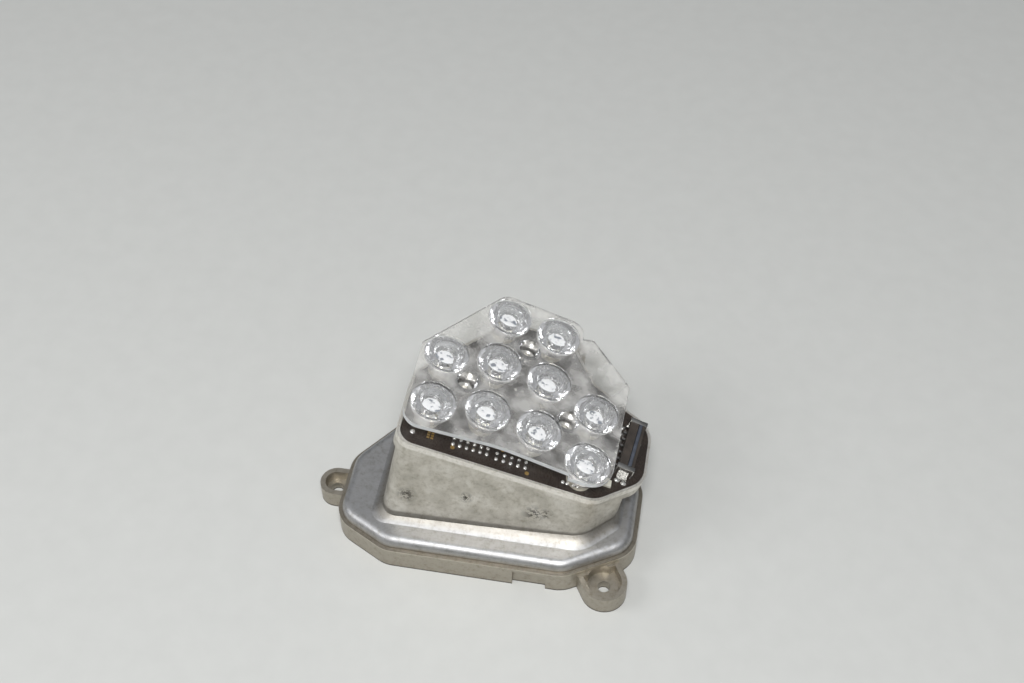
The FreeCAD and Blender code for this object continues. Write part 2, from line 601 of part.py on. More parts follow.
doc.recompute()
for thing in doc.Objects:
    if "Invalid" in thing.State or "Error" in thing.State:
        raise RuntimeError(f"{thing.Label} failed: {thing.State}")
os.makedirs("parts", exist_ok=True)
for piece in pieces:
    if piece.Shape.isNull() or not piece.Shape.isValid():
        raise RuntimeError(f"{piece.Label} has no valid shape")
    piece.Shape.exportStep(f"parts/{piece.Label}.step")
    print(piece.Label, len(piece.Shape.Solids), round(piece.Shape.Volume, 1))
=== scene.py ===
import math
import bmesh
import bpy
from mathutils import Matrix, Vector


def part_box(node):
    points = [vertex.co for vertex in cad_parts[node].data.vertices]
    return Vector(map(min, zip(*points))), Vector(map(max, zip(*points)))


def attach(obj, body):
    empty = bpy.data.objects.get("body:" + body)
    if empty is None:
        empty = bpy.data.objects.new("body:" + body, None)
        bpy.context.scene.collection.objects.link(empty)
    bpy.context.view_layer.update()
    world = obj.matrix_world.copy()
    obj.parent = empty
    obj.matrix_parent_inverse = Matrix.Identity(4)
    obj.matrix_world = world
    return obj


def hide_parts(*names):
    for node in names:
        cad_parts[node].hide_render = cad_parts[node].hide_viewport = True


# An LED light module of a car lamp, standing on a pale table: a die-cast heat sink whose tower
# leans and slopes to one side, the circuit board on it, and a clear array of collimator lenses.
# Sizes are in millimetres, in the frame of the part: Z up from the flange's seat.
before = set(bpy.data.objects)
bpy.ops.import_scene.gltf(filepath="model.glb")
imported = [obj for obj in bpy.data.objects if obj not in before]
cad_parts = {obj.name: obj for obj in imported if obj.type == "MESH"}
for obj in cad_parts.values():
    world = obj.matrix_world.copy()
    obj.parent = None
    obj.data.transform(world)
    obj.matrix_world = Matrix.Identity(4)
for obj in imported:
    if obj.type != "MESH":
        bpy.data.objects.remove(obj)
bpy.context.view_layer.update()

# Heat sink housing: one aluminium die casting with flange, leaning tower and three ears.
# Bare metal as it left the die: a fine grain, cloudy stains, and a few dark scuffs from handling.
# The tint changes with height: warm skirt, cool flange, pale tower; painted shade darkens the foot, the
# crease of the skirt's ledge and the root, and painted highlights lighten the ledge's edge and the lip at
# the board.
MM = 0.001
BOARD_SLOPE = math.radians(15.5)
BOARD_ORIGIN = Vector((10.3, -11.0, 31.8))
to_world = Matrix.Scale(MM, 4) @ Matrix.Translation(BOARD_ORIGIN) @ Matrix.Rotation(BOARD_SLOPE, 4, "Y")
board_normal = to_world.to_3x3().col[2].normalized()
board_height = BOARD_ORIGIN.dot(board_normal)
# From here to there off the board the lip turns pale: a painted highlight on the shelf's rim.
LIP_HIGHLIGHT_START, LIP_HIGHLIGHT_FULL = -2.3, -1.7
WALL_START, WALL_FULL = 13.2, 13.9
BAND_TOP = 14.0
# Tint stops by height in mm: the dark foot is a painted contact shadow, the pale line at 7.2 a painted
# highlight on the ledge, the dark line at 7.55 painted shade in its crease, and the dull root from 11.2
# painted shade.
BANDS_AND_PAINTED_LIGHT = [(0.1, "4d4a45"), (0.7, "aca69a"), (6.9, "b3ada1"), (7.2, "d3cdc0"), (7.55, "8f897e"),
         (8.1, "b4b2ae"), (10.4, "bcbdbf"), (11.2, "a3a09a"), (13.2, "9d9991")]
WALL_CLOUDS = [(0.3, "b7b3a9"), (0.5, "ccc8be"), (0.7, "e0ddd5")]
MOTTLES = [(0.34, "e0ded9"), (0.48, "f8f7f6"), (0.6, "ffffff")]
SCUFFS = [((-22.6, -24.8, 20.6), 3.4), ((-5.7, -24.1, 22.3), 2.4), ((13.4, -24.1, 18.8), 3.8),
          ((17.0, -23.9, 19.3), 2.4)]
SCUFF_LEVEL = 0.5
# Sizes of the grain, the clouds and the streaks, the depth of the grain, and the range of the gloss.
GRAIN, CLOUD, STREAK, GRAIN_DEPTH = 0.3, 6.0, 1.4, 0.04
SHINIEST, DULLEST = 0.34, 0.56


def colour(code):
    """A colour given as an sRGB hex code, as the linear values that shaders take."""
    values = [int(code[place:place + 2], 16) / 255 for place in (0, 2, 4)]
    linear = [v / 12.92 if v <= 0.04045 else ((v + 0.055) / 1.055) ** 2.4 for v in values]
    return (*linear, 1.0)


def node(tree, kind, inputs, stops=(), **settings):
    """Add a node: settings are its own, inputs are values or sockets to link, stops colour a ramp."""
    made = tree.nodes.new(kind)
    for name, value in settings.items():
        setattr(made, name, value)
    for name, value in inputs.items():
        if isinstance(value, bpy.types.NodeSocket):
            tree.links.new(value, made.inputs[name])
        else:
            made.inputs[name].default_value = value
    for index, (position, code) in enumerate(stops):
        points = made.color_ramp.elements
        point = points[index] if index < len(points) else points.new(position)
        point.position = position
        point.color = colour(code)
    return made


def new_material(name, **sockets):
    """A material with plain socket values, its node tree, its shader and its Object coordinates."""
    material = bpy.data.materials.new(name)
    material.use_nodes = True
    tree = material.node_tree
    shader = tree.nodes["Principled BSDF"]
    for socket, value in sockets.items():
        shader.inputs[socket.replace("_", " ")].default_value = value
    return material, tree, shader, node(tree, "ShaderNodeTexCoord", {}).outputs["Object"]


def dress(node_name, material):
    """Give a CAD node its finished material."""
    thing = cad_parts[node_name]
    thing.data.materials.clear()
    thing.data.materials.append(material)


casting, tree, shader, place = new_material("die-cast aluminium", Metallic=0.9)
grain = node(tree, "ShaderNodeTexNoise",
             {"Vector": place, "Scale": 1 / (GRAIN * MM), "Detail": 4.0, "Roughness": 0.55})
cloud = node(tree, "ShaderNodeTexNoise",
             {"Vector": place, "Scale": 1 / (CLOUD * MM), "Detail": 6.0, "Roughness": 0.55})
streak = node(tree, "ShaderNodeTexNoise",
              {"Vector": place, "Scale": 1 / (STREAK * MM), "Detail": 8.0, "Roughness": 0.7})
height = node(tree, "ShaderNodeSeparateXYZ", {"Vector": place}).outputs["Z"]
climb = node(tree, "ShaderNodeMapRange", {"Value": height, "From Max": BAND_TOP * MM})
# Colour by height, with the painted shade and highlights of the stops above.
bands_and_painted_light = node(tree, "ShaderNodeValToRGB", {"Fac": climb.outputs["Result"]},
             stops=[(level / BAND_TOP, code) for level, code in BANDS_AND_PAINTED_LIGHT])
wall = node(tree, "ShaderNodeValToRGB", {"Fac": cloud.outputs["Fac"]}, stops=WALL_CLOUDS)
above_root = node(tree, "ShaderNodeMapRange",
                  {"Value": height, "From Min": WALL_START * MM, "From Max": WALL_FULL * MM})
metal = node(tree, "ShaderNodeMix", {"Factor": above_root.outputs["Result"], "A": bands_and_painted_light.outputs["Color"],
                                     "B": wall.outputs["Color"]}, data_type="RGBA")
off_board = node(tree, "ShaderNodeVectorMath", {0: place, 1: board_normal}, operation="DOT_PRODUCT")
# Painted highlight: the casting turns pale near the board's plane, along the shelf's rim.
lip_highlight = node(tree, "ShaderNodeMapRange", {"Value": off_board.outputs["Value"],
                                        "From Min": (board_height + LIP_HIGHLIGHT_START) * MM,
                                        "From Max": (board_height + LIP_HIGHLIGHT_FULL) * MM})
metal = node(tree, "ShaderNodeMix", {"Factor": lip_highlight.outputs["Result"], "A": metal.outputs["Result"],
                                     "B": colour("f2efe8")}, data_type="RGBA")
mottle = node(tree, "ShaderNodeValToRGB", {"Fac": streak.outputs["Fac"]}, stops=MOTTLES)
metal = node(tree, "ShaderNodeMix", {"Factor": 1.0, "A": metal.outputs["Result"],
                                     "B": mottle.outputs["Color"]}, data_type="RGBA", blend_type="MULTIPLY")
scuff = 0.0
for centre, reach in SCUFFS:
    away = node(tree, "ShaderNodeVectorMath", {0: place, 1: Vector(centre) * MM}, operation="DISTANCE")
    near = node(tree, "ShaderNodeMapRange",
                {"Value": away.outputs["Value"], "From Min": reach * MM, "From Max": 0.0})
    nearest = node(tree, "ShaderNodeMath", {0: near.outputs["Result"], 1: scuff}, operation="MAXIMUM")
    scuff = nearest.outputs["Value"]
marks = node(tree, "ShaderNodeMath", {0: streak.outputs["Fac"], 1: SCUFF_LEVEL}, operation="GREATER_THAN")
scuff = node(tree, "ShaderNodeMath", {0: scuff, 1: marks.outputs["Value"]}, operation="MULTIPLY")
metal = node(tree, "ShaderNodeMix", {"Factor": scuff.outputs["Value"], "A": metal.outputs["Result"],
                                     "B": colour("3f3b34")}, data_type="RGBA")
tree.links.new(metal.outputs["Result"], shader.inputs["Base Color"])
satin = node(tree, "ShaderNodeMapRange",
             {"Value": cloud.outputs["Fac"], "To Min": SHINIEST, "To Max": DULLEST})
tree.links.new(satin.outputs["Result"], shader.inputs["Roughness"])
bump = node(tree, "ShaderNodeBump", {"Height": grain.outputs["Fac"], "Distance": GRAIN_DEPTH * MM})
tree.links.new(bump.outputs["Normal"], shader.inputs["Normal"])
dress("heat_sink_housing", casting)

# Circuit board: dark laminate under a glossy solder mask, clamped between the shelf and the lenses.
# Its frame slopes with the shelf: u down the slope, v to the back, w off the board.
DRIFT = 12


def grained(name, size, depth, gloss, stops, **sockets):
    """A material with a fine grain in gloss and bump, whose colour drifts DRIFT times as broadly."""
    material, tree, shader, place = new_material(name, **sockets)
    fine = node(tree, "ShaderNodeTexNoise", {"Vector": place, "Scale": 1 / (size * MM), "Detail": 4.0})
    broad = node(tree, "ShaderNodeTexNoise",
                 {"Vector": place, "Scale": 1 / (DRIFT * size * MM), "Detail": 4.0})
    drift = node(tree, "ShaderNodeValToRGB", {"Fac": broad.outputs["Fac"]}, stops=stops)
    tree.links.new(drift.outputs["Color"], shader.inputs["Base Color"])
    rough = node(tree, "ShaderNodeMapRange",
                 {"Value": fine.outputs["Fac"], "To Min": gloss[0], "To Max": gloss[1]})
    tree.links.new(rough.outputs["Result"], shader.inputs["Roughness"])
    bump = node(tree, "ShaderNodeBump", {"Height": fine.outputs["Fac"], "Distance": depth * MM})
    tree.links.new(bump.outputs["Normal"], shader.inputs["Normal"])
    return material


laminate = grained("board laminate", size=0.25, depth=0.01, gloss=(0.22, 0.34),
                   stops=[(0.3, "2c2521"), (0.7, "3a322c")])
dress("led_board", laminate)

# Test pads: bare gilt copper discs near the board's front edge, and a block of six small lands.
# They are thin plating on the laminate, so they stand off it by a hair only.
GILT_PADS = [(-21.2, -8.0, 0.62), (-17.1, -3.6, 0.55), (-7.5, -3.8, 0.6), (0.4, -8.9, 0.62)]
LAND_CORNER, LAND_PITCH, LAND_SIZE = (-28.4, -7.1), (1.1, 0.85), (0.8, 0.55)
LAND_COLUMNS, LAND_ROWS = 2, 3
PAD_HEIGHT, PAD_STEPS, PAD_TAPER = 0.06, 24, 0.96


def disc(shape, u, v, radius):
    """A thin round pad plated on the board."""
    bmesh.ops.create_cone(shape, cap_ends=True, segments=PAD_STEPS, radius1=radius,
                          radius2=radius * PAD_TAPER, depth=PAD_HEIGHT,
                          matrix=to_world @ Matrix.Translation((u, v, PAD_HEIGHT / 2)))


def finish_mesh(name, shape, material, sharp=30):
    """Turn a bmesh into a piece of the part, smooth except over sharp edges."""
    bmesh.ops.recalc_face_normals(shape, faces=shape.faces)
    mesh = bpy.data.meshes.new(name)
    shape.to_mesh(mesh)
    shape.free()
    mesh.polygons.foreach_set("use_smooth", [True] * len(mesh.polygons))
    mesh.set_sharp_from_angle(angle=math.radians(sharp))
    mesh.materials.append(material)
    piece = bpy.data.objects.new(name, mesh)
    bpy.context.scene.collection.objects.link(piece)
    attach(piece, "root")
    return piece


gilt = grained("gilt copper", size=0.2, depth=0.005, gloss=(0.25, 0.38),
               stops=[(0.3, "b08d4e"), (0.7, "cbb07a")], Metallic=0.9)
pads = bmesh.new()
for u, v, radius in GILT_PADS:
    disc(pads, u, v, radius)
for column in range(LAND_COLUMNS):
    for row in range(LAND_ROWS):
        u, v = LAND_CORNER[0] + LAND_PITCH[0] * column, LAND_CORNER[1] + LAND_PITCH[1] * row
        bmesh.ops.create_cube(pads, size=1.0, matrix=to_world @ Matrix.Translation((u, v, PAD_HEIGHT / 2))
                              @ Matrix.Diagonal((*LAND_SIZE, PAD_HEIGHT, 1.0)))
finish_mesh("test_pads", pads, gilt)

# LED pads: round copper areas under the LEDs, which carry their heat into the board.
# The solder mask over them is pale, so they look dull and cream through the lenses.
LED_PAD = 3.6
to_board = to_world.inverted()
leds = [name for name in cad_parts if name.startswith("led_") and name != "led_board"]
masked_copper = grained("masked copper", size=0.3, depth=0.005, gloss=(0.3, 0.45),
                        stops=[(0.35, "8d887c"), (0.65, "cfcabb")])
led_pads = bmesh.new()
for name in leds:
    low, high = (Vector(corner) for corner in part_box(name))
    middle = to_board @ ((low + high) / 2)
    disc(led_pads, middle.x, middle.y, LED_PAD)
finish_mesh("led_pads", led_pads, masked_copper)

# LEDs: white ceramic carriers with a resin dome, soldered under each collimator.
# A painted glow (emission) stands in for the light they throw back into the lens, so they look bright.
glowing_led_ceramic = grained("led ceramic", size=0.15, depth=0.005, gloss=(0.3, 0.4),
                      stops=[(0.3, "f3eedc"), (0.7, "fdfaec")],
                      Emission_Color=colour("fffdf4"), Emission_Strength=1.0)
for name in leds:
    dress(name, glowing_led_ceramic)

# Chips: resistors, capacitors and a thermistor in dark ceramic, and one square chip in white.
# They are set by machine and held by the solder at their ends.
chip_ceramic = grained("chip ceramic", size=0.15, depth=0.005, gloss=(0.3, 0.4),
                       stops=[(0.3, "35322f"), (0.7, "46423e")])
white_ceramic = grained("white ceramic", size=0.15, depth=0.005, gloss=(0.3, 0.4),
                        stops=[(0.3, "dcd9c8"), (0.7, "e8e6da")])
chips = [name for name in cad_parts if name.startswith(("resistor", "capacitor", "thermistor"))]
for name in chips:
    dress(name, chip_ceramic)
dress("square_chip", white_ceramic)

# Solder: bright rounded fillets at both ends of each chip, at the contacts' feet and at the anchors.
# Tin that ran out and set in a dome, so it mirrors the lamps in small points.
FILLET_REACH = 1.2
CHIP_BLOB, CONTACT_BLOB = (0.55, 0.6, 0.38), (0.6, 0.5, 0.3)
ANCHOR_BLOB, DOT_BLOB = (0.9, 0.75, 0.5), (0.75, 0.75, 0.35)
BLOB_ROUND, BLOB_RISE = 16, 10
CONTACT_TOE = Vector((0.5, 0.0, 0.25)) * MM
ANCHOR_SPOTS = [(25.6, -1.9), (27.6, -2.4), (29.6, 19.6), (30.2, 12.6)]
DOT_SPOT = (-32.9, -6.8)


def blob(shape, spot, size):
    """A dome of solder with half sizes along, across and off the board."""
    place = Matrix.Translation(spot) @ Matrix.Rotation(BOARD_SLOPE, 4, "Y")
    bmesh.ops.create_uvsphere(shape, u_segments=BLOB_ROUND, v_segments=BLOB_RISE, radius=1.0,
                              matrix=place @ Matrix.Diagonal((*(Vector(size) * MM), 1.0)))


solder = grained("solder", size=0.4, depth=0.03, gloss=(0.16, 0.3),
                 stops=[(0.3, "d4d3cf"), (0.7, "efeeea")], Metallic=0.75)
fillets = bmesh.new()
blob(fillets, to_world @ Vector((*DOT_SPOT, 0.0)), DOT_BLOB)
for name in chips:
    low, high = (Vector(corner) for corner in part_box(name))
    along = Vector((0.0, (high.y - low.y) / 2, 0.0))
    if not name.startswith("resistor"):
        along = to_world.to_3x3().col[0].normalized() * ((high.x - low.x) / 2)
    for way in (-FILLET_REACH, FILLET_REACH):
        blob(fillets, (low + high) / 2 + along * way, CHIP_BLOB)
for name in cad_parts:
    if name.startswith("contact_"):
        low, high = (Vector(corner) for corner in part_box(name))
        blob(fillets, Vector((low.x, (low.y + high.y) / 2, low.z)) + CONTACT_TOE, CONTACT_BLOB)
for spot in ANCHOR_SPOTS:
    blob(fillets, to_world @ Vector((*spot, 0.0)), ANCHOR_BLOB)
finish_mesh("solder_fillets", fillets, solder)

# Connector: a dull moulding with seven bent contacts and two anchors, soldered to the board.
# Two tinned straps hold it down at its ends, and a grey strip fills the slot in its top.
CONNECTOR_PLACE, CONNECTOR_TURN = (24.7, 0.6, 0.0), math.radians(-6.0)
CONNECTOR_WIDTH, CONNECTOR_HEIGHT = 4.4, 3.4
STRAP, STRAP_LENGTH, STRAP_STARTS, STRAP_EDGE = 0.35, 1.5, (-0.5, 16.5), 0.08
STRIP_LOW, STRIP_HIGH, STRIP_EDGE = (2.5, 1.0, 1.4), (3.5, 16.5, 3.9), 0.2
on_connector = to_world @ Matrix.Translation(CONNECTOR_PLACE) @ Matrix.Rotation(CONNECTOR_TURN, 4, "Z")


def bar(shape, low, high, edge):
    """A straight bar between two corners in the connector's frame, with softened edges."""
    low, high = Vector(low), Vector(high)
    made = bmesh.ops.create_cube(shape, size=1.0, matrix=Matrix.Translation((low + high) / 2)
                                 @ Matrix.Diagonal((*(high - low), 1.0)))
    sides = {side for vert in made["verts"] for side in vert.link_edges}
    bmesh.ops.bevel(shape, geom=list(sides), offset=edge, affect="EDGES", segments=2, profile=0.5,
                    material=-1)


tinned = grained("tinned sheet", size=0.2, depth=0.01, gloss=(0.18, 0.3),
                 stops=[(0.3, "a9a8a5"), (0.7, "c6c5c2")], Metallic=1.0)
moulded = grained("moulded nylon", size=0.2, depth=0.01, gloss=(0.35, 0.5),
                  stops=[(0.3, "38332f"), (0.7, "4b443e")])
grey_nylon = grained("grey nylon", size=0.2, depth=0.01, gloss=(0.3, 0.45),
                     stops=[(0.3, "3f434c"), (0.7, "525762")])
dress("connector_housing", moulded)
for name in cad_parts:
    if name.startswith(("contact_", "connector_anchor")):
        dress(name, tinned)
straps = bmesh.new()
for start in STRAP_STARTS:
    end = start + STRAP_LENGTH
    right, top = CONNECTOR_WIDTH + STRAP, CONNECTOR_HEIGHT + STRAP
    bar(straps, (-STRAP, start, 0.0), (0.0, end, CONNECTOR_HEIGHT), STRAP_EDGE)
    bar(straps, (CONNECTOR_WIDTH, start, 0.0), (right, end, CONNECTOR_HEIGHT), STRAP_EDGE)
    bar(straps, (-STRAP, start, CONNECTOR_HEIGHT), (right, end, top), STRAP_EDGE)
bmesh.ops.transform(straps, matrix=on_connector, verts=straps.verts)
finish_mesh("connector_straps", straps, tinned)
strip = bmesh.new()
bar(strip, STRIP_LOW, STRIP_HIGH, STRIP_EDGE)
bmesh.ops.transform(strip, matrix=on_connector, verts=strip.verts)
finish_mesh("connector_strip", strip, grey_nylon)

# Lens screws: three small zinc-plated steel screws down in the tubes of the lens array.
# They clamp the lenses and the board together on the shelf, and their pale plating shines softly.
steel = grained("plated steel", size=0.2, depth=0.01, gloss=(0.2, 0.34),
                stops=[(0.3, "c2c0ba"), (0.7, "d6d4ce")], Metallic=0.6)
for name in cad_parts:
    if name.startswith("lens_screw"):
        dress(name, steel)

# Lens array: one clear acrylic moulding of plate, ten collimators and three screw tubes.
# Each collimator has an open well above, a curved flank and a cavity over its LED.
# The screws hold it by the floors of its tubes, which stand on the board.
LENS_PITCH, ROW_PITCH = 15.0, 17.5
ROW_RADIUS, ROW_APEX_U, ROW_APEX_V = 54.5, -12.4, 1.55
PLATE_BOTTOM, PLATE_TOP, RIM_TOP, RIM_RADIUS = 7.0, 8.4, 9.2, 6.4
WELL_RADIUS, WELL_FLOOR_RADIUS, WELL_FLOOR, WELL_CROWN = 3.8, 3.2, 6.8, 0.5
CONE_FOOT, CONE_FOOT_RADIUS, CONE_MIDDLE, CONE_MIDDLE_RADIUS = 1.2, 2.7, 3.2, 5.2
CAVITY_RADIUS, CAVITY_TOP_RADIUS, CAVITY_DEPTH, CAVITY_CROWN = 1.9, 1.7, 2.6, 0.5
TUBE_RADIUS, TUBE_BORE, TUBE_FLOOR, SCREW_HOLE = 3.7, 3.0, 3.0, 1.35
EDGE, WELD = 0.15, 0.0005
LENS_GRID = [(-2, 0), (-1, 0), (0, 0), (1, 0), (-2, 1), (-1, 1), (0, 1), (1, 1), (-1, 2), (0, 2)]
SCREW_GRID = [(-1.5, 0.5), (-0.5, 1.5), (0.5, 0.5)]
ROUND_STEPS, CORNER_STEPS, CURVE_STEPS = 72, 10, 12
# Plate outline: u, v and the radius of each corner.
PLATE = [
    (-37.4, -10.8, 5.0), (-9.5, -9.0, 60.0), (10.5, -10.8, 0.3), (10.5, -12.4, 0.3), (22.3, -12.4, 7.0),
    (23.2, 25.0, 1.0), (10.4, 38.0, 1.0), (7.3, 37.2, 0.3), (7.3, 42.5, 4.5), (-17.6, 44.6, 4.5),
    (-37.4, 17.8, 1.0),
]


def grid_spot(column, row):
    """The place of a lens or a tube: rows of even pitch, each bent to an arc."""
    u = column * LENS_PITCH
    sagitta = ROW_RADIUS - math.sqrt(ROW_RADIUS ** 2 - (u - ROW_APEX_U) ** 2)
    return Vector((u, row * ROW_PITCH + ROW_APEX_V - sagitta))


def rounded(corners):
    """An outline through corners given as u, v and the radius that rounds them."""
    points = []
    for index, (u, v, radius) in enumerate(corners):
        here = Vector((u, v))
        back = (Vector(corners[index - 1][:2]) - here).normalized()
        ahead = (Vector(corners[(index + 1) % len(corners)][:2]) - here).normalized()
        half = back.angle(ahead) / 2
        centre = here + (back + ahead).normalized() * (radius / math.sin(half))
        start = here + back * (radius / math.tan(half)) - centre
        sweep = start.angle_signed(here + ahead * (radius / math.tan(half)) - centre)
        for step in range(CORNER_STEPS + 1):
            points.append(centre + Matrix.Rotation(-sweep * step / CORNER_STEPS, 2) @ start)
    return points


def bent(first, control, last):
    """Points of a curve from first to last, drawn towards a control point."""
    points = []
    for step in range(CURVE_STEPS + 1):
        t = step / CURVE_STEPS
        points.append(tuple((1 - t) ** 2 * a + 2 * t * (1 - t) * b + t * t * c
                            for a, b, c in zip(first, control, last)))
    return points


def spun(shape, profile, centres):
    """Turn a profile of (radius, height) points to a round form and set it at each centre."""
    form = bmesh.new()
    verts = [form.verts.new((radius, 0.0, height)) for radius, height in profile]
    edges = [form.edges.new(pair) for pair in zip(verts, verts[1:])]
    bmesh.ops.spin(form, geom=verts + edges, axis=(0.0, 0.0, 1.0), angle=2 * math.pi, steps=ROUND_STEPS,
                   use_merge=True)
    bmesh.ops.remove_doubles(form, verts=form.verts, dist=WELD)
    turned = bpy.data.meshes.new("turned form")
    form.to_mesh(turned)
    form.free()
    for before, centre in zip([Vector((0.0, 0.0))] + centres, centres):
        turned.transform(Matrix.Translation((*(centre - before), 0.0)))
        shape.from_mesh(turned)
    bpy.data.meshes.remove(turned)


CAVITY_TOP, WELL_TOP = CONE_FOOT + CAVITY_DEPTH, WELL_FLOOR + WELL_CROWN
RIM_PROFILE = [(RIM_RADIUS, PLATE_TOP), (RIM_RADIUS, RIM_TOP - EDGE), (RIM_RADIUS - EDGE, RIM_TOP),
               (WELL_RADIUS + EDGE, RIM_TOP), (WELL_RADIUS, RIM_TOP - EDGE)]
WELL_PROFILE = bent((WELL_FLOOR_RADIUS, WELL_FLOOR), (WELL_FLOOR_RADIUS / 2, WELL_TOP), (0.0, WELL_TOP))
FLANK_PROFILE = bent((RIM_RADIUS, PLATE_BOTTOM), (CONE_MIDDLE_RADIUS, CONE_MIDDLE),
                     (CONE_FOOT_RADIUS, CONE_FOOT))
CAVITY_PROFILE = [(CAVITY_RADIUS, CONE_FOOT)] + bent((CAVITY_TOP_RADIUS, CAVITY_TOP),
                                                     (CAVITY_TOP_RADIUS / 2, CAVITY_TOP - CAVITY_CROWN),
                                                     (0.0, CAVITY_TOP - CAVITY_CROWN))
TUBE_PROFILE = [(TUBE_BORE, PLATE_TOP), (TUBE_BORE, TUBE_FLOOR), (SCREW_HOLE, TUBE_FLOOR),
                (SCREW_HOLE, 0.0), (TUBE_RADIUS, 0.0), (TUBE_RADIUS, PLATE_BOTTOM)]
lens_centres = [grid_spot(*spot) for spot in LENS_GRID]
tube_centres = [grid_spot(*spot) for spot in SCREW_GRID]
array = bmesh.new()
plate_verts = [array.verts.new((*point, PLATE_TOP)) for point in rounded(PLATE)]
plate_edges = [array.edges.new(pair) for pair in zip(plate_verts, plate_verts[1:] + plate_verts[:1])]
plate_wall = bmesh.ops.extrude_edge_only(array, edges=plate_edges)["geom"]
bmesh.ops.translate(array, vec=(0.0, 0.0, PLATE_BOTTOM - PLATE_TOP),
                    verts=[part for part in plate_wall if isinstance(part, bmesh.types.BMVert)])
spun(array, RIM_PROFILE + WELL_PROFILE, lens_centres)
spun(array, FLANK_PROFILE + CAVITY_PROFILE, lens_centres)
spun(array, TUBE_PROFILE, tube_centres)
for level in (PLATE_TOP, PLATE_BOTTOM):
    rims = [side for side in array.edges
            if side.is_boundary and all(abs(vert.co.z - level) < WELD for vert in side.verts)]
    bmesh.ops.triangle_fill(array, use_beauty=True, use_dissolve=False, edges=rims)
bmesh.ops.transform(array, matrix=to_world, verts=array.verts)

# Clear acrylic of the rims: polished by the mould, with a faint wave that breaks up reflections.
ACRYLIC_IOR = 1.49
WAVE, WAVE_DEPTH = 2.5, 0.2
clear, tree, shader, place = new_material("clear acrylic", Base_Color=colour("f6f7f8"), Roughness=0.03,
                                          IOR=ACRYLIC_IOR, Transmission_Weight=0.95)
wave = node(tree, "ShaderNodeTexNoise", {"Vector": place, "Scale": 1 / (WAVE * MM), "Detail": 2.0})
bump = node(tree, "ShaderNodeBump", {"Height": wave.outputs["Fac"], "Distance": WAVE_DEPTH * MM})
tree.links.new(bump.outputs["Normal"], shader.inputs["Normal"])
lens_piece = finish_mesh("clear_lens_array", array, clear)
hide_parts("lens_array")

# Pillow optics on the well floors, painted opaque and near white: a painted glare of the lit LED seen
# through the lens, with darker spots as painted shade of the LED's marks.
DIMPLE, DIMPLE_DEPTH = 1.5, 0.4
pillow, tree, shader, place = new_material("pillow optics", Roughness=0.15)
dimples = node(tree, "ShaderNodeTexNoise", {"Vector": place, "Scale": 1 / (DIMPLE * MM), "Detail": 2.0})
pillow_painted_glare = node(tree, "ShaderNodeValToRGB", {"Fac": dimples.outputs["Fac"]},
                   stops=[(0.36, "8d9299"), (0.44, "f4f5f6"), (0.8, "ffffff")])
tree.links.new(pillow_painted_glare.outputs["Color"], shader.inputs["Base Color"])
bump = node(tree, "ShaderNodeBump", {"Height": dimples.outputs["Fac"], "Distance": DIMPLE_DEPTH * MM})
tree.links.new(bump.outputs["Normal"], shader.inputs["Normal"])

# Flanks and tubes: total reflection inside the acrylic makes them look silvered.
# The flanks also get a faint painted glow (emission) for what the LEDs throw back, so they are a little
# brighter.
RIPPLE, RIPPLE_DEPTH = 2.2, 0.12
FLANK_PAINTED_GLOW, TUBE_PAINTED_GLOW = 0.08, 0.0


def silvered(name, painted_glow):
    """Acrylic seen from inside, with a ripple that breaks up its reflections and a painted glow (emission)
    of the given strength.
    """
    material, tree, shader, place = new_material(
        name, Base_Color=colour("fafafb"), Roughness=0.05, Metallic=0.8, IOR=ACRYLIC_IOR,
        Transmission_Weight=0.9, Emission_Color=colour("fafaf8"), Emission_Strength=painted_glow)
    ripple = node(tree, "ShaderNodeTexNoise", {"Vector": place, "Scale": 1 / (RIPPLE * MM), "Detail": 2.0})
    bump = node(tree, "ShaderNodeBump", {"Height": ripple.outputs["Fac"], "Distance": RIPPLE_DEPTH * MM})
    tree.links.new(bump.outputs["Normal"], shader.inputs["Normal"])
    return material


flank = silvered("collimator flank", FLANK_PAINTED_GLOW)
tube = silvered("screw tube", TUBE_PAINTED_GLOW)

# Plate: the same acrylic, with cloudy patches made partly diffuse and near white: a painted glow standing
# in for the stray light of the lenses.
GLOW_PATCH, GLOW_PATCH_START, GLOW_PATCH_FULL = 7.0, 0.38, 0.65
CLEAREST, CLOUDIEST = 0.93, 0.6
glow_hazed, tree, shader, place = new_material("hazy acrylic", Base_Color=colour("f8f7f4"), Roughness=0.04,
                                         IOR=ACRYLIC_IOR)
glow_patches = node(tree, "ShaderNodeTexNoise", {"Vector": place, "Scale": 1 / (GLOW_PATCH * MM), "Detail": 3.0})
painted_glow_veil = node(tree, "ShaderNodeMapRange", {"Value": glow_patches.outputs["Fac"],
                                         "From Min": GLOW_PATCH_START, "From Max": GLOW_PATCH_FULL,
                                         "To Min": CLEAREST, "To Max": CLOUDIEST})
tree.links.new(painted_glow_veil.outputs["Result"], shader.inputs["Transmission Weight"])

# Plate edge: its side faces are paler and only half clear.
frosted = grained("frosted acrylic", size=0.2, depth=0.01, gloss=(0.3, 0.4),
                  stops=[(0.3, "e4e6e8"), (0.7, "eef0f0")], IOR=ACRYLIC_IOR, Transmission_Weight=0.5)

# Finishes over the moulding: a face takes its own by where it lies on the board and how it faces.
PILLOW, FLANK, TUBE, FROSTED, PAINTED_GLOW_PLATE = 1, 2, 3, 4, 5
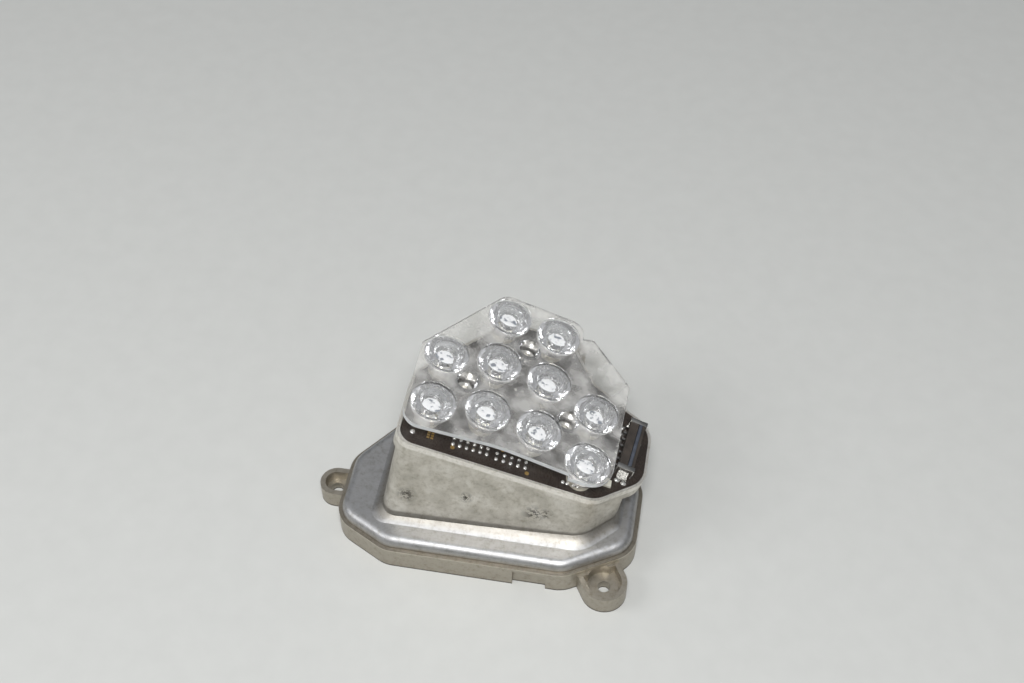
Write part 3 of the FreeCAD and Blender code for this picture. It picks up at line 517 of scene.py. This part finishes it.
# The pillow finish, a painted glare, covers a disc on each well floor.
PILLOW_RADIUS, PILLOW_SHIFT = 2.6, Vector((-0.2, -0.5))
UPRIGHT, LEVEL = 0.1, 0.9
for material in (pillow, flank, tube, frosted, glow_hazed):
    lens_piece.data.materials.append(material)
for face in lens_piece.data.polygons:
    spot = to_board @ face.center
    from_lens = min((spot.xy - centre for centre in lens_centres), key=lambda offset: offset.length)
    to_tube = min((spot.xy - centre).length for centre in tube_centres)
    away = from_lens.length
    facing = abs(face.normal.dot(board_normal))
    on_floor = away < WELL_FLOOR_RADIUS and WELL_FLOOR - EDGE < spot.z < WELL_TOP + EDGE
    if on_floor and (from_lens - PILLOW_SHIFT).length < PILLOW_RADIUS:
        face.material_index = PILLOW
    elif CAVITY_RADIUS < away < RIM_RADIUS and CONE_FOOT < spot.z < PLATE_BOTTOM:
        face.material_index = FLANK
    elif to_tube < TUBE_RADIUS + EDGE and spot.z < PLATE_TOP - EDGE:
        face.material_index = TUBE
    elif away > RIM_RADIUS + EDGE and PLATE_BOTTOM < spot.z < PLATE_TOP and facing < UPRIGHT:
        face.material_index = FROSTED
    elif facing > LEVEL and spot.z < PLATE_TOP + EDGE:
        face.material_index = PAINTED_GLOW_PLATE

# Table: a wide pale sheet with a faint grain, which the flange stands on.
# It is the stage only, not a piece of the part.
TABLE_REACH = 4.0
table_shape = bmesh.new()
bmesh.ops.create_grid(table_shape, x_segments=1, y_segments=1, size=TABLE_REACH)
table_mesh = bpy.data.meshes.new("table")
table_shape.to_mesh(table_mesh)
table_shape.free()
table_skin = grained("table sheet", size=0.6, depth=0.01, gloss=(0.5, 0.6),
                     stops=[(0.3, "cccdca"), (0.7, "cfd0cd")])
table_mesh.materials.append(table_skin)
table = bpy.data.objects.new("table", table_mesh)
bpy.context.scene.collection.objects.link(table)

# Light: a soft round lamp above and behind the camera, a weaker one from the left, and a dim room
# whose ceiling is brighter than its walls. Place and size in metres, power in watts.
LAMPS = [("key", (0.1, -0.5, 0.9), 0.35, 7.6), ("fill", (-0.7, -0.3, 0.6), 0.5, 2.2)]
LAMP_TARGET = Vector((0.0, 0.0, 0.02))
ROOM_STRENGTH = 0.62
for name, spot, size, power in LAMPS:
    light = bpy.data.lights.new(name, "AREA")
    light.shape = "DISK"
    light.size = size
    light.energy = power
    lamp = bpy.data.objects.new(name, light)
    lamp.location = spot
    lamp.rotation_euler = (LAMP_TARGET - Vector(spot)).to_track_quat("-Z", "Y").to_euler()
    bpy.context.scene.collection.objects.link(lamp)
world = bpy.data.worlds.new("room")
world.use_nodes = True
room = world.node_tree
direction = node(room, "ShaderNodeTexCoord", {}).outputs["Generated"]
upward = node(room, "ShaderNodeSeparateXYZ", {"Vector": direction}).outputs["Z"]
room_tone = node(room, "ShaderNodeValToRGB", {"Fac": upward},
                 stops=[(0.0, "77797c"), (0.6, "8f9194"), (1.0, "e2e3e4")])
room.links.new(room_tone.outputs["Color"], room.nodes["Background"].inputs["Color"])
room.nodes["Background"].inputs["Strength"].default_value = ROOM_STRENGTH
bpy.context.scene.world = world

# Camera: the photograph's view, 48 degrees down and turned 10 degrees to the left.
CAMERA_PLACE = Vector((47.2, -250.3, 346.2))
CAMERA_TILT, CAMERA_TURN = math.radians(41.86), math.radians(10.0)
view = bpy.data.cameras.new("camera")
view.lens = 50.0
view.sensor_width = 36.0
view.clip_start = 0.01
camera = bpy.data.objects.new("camera", view)
camera.location = CAMERA_PLACE * MM
camera.rotation_euler = (CAMERA_TILT, 0.0, CAMERA_TURN)
bpy.context.scene.collection.objects.link(camera)
bpy.context.scene.camera = camera
bpy.context.scene.view_settings.view_transform = "Standard"
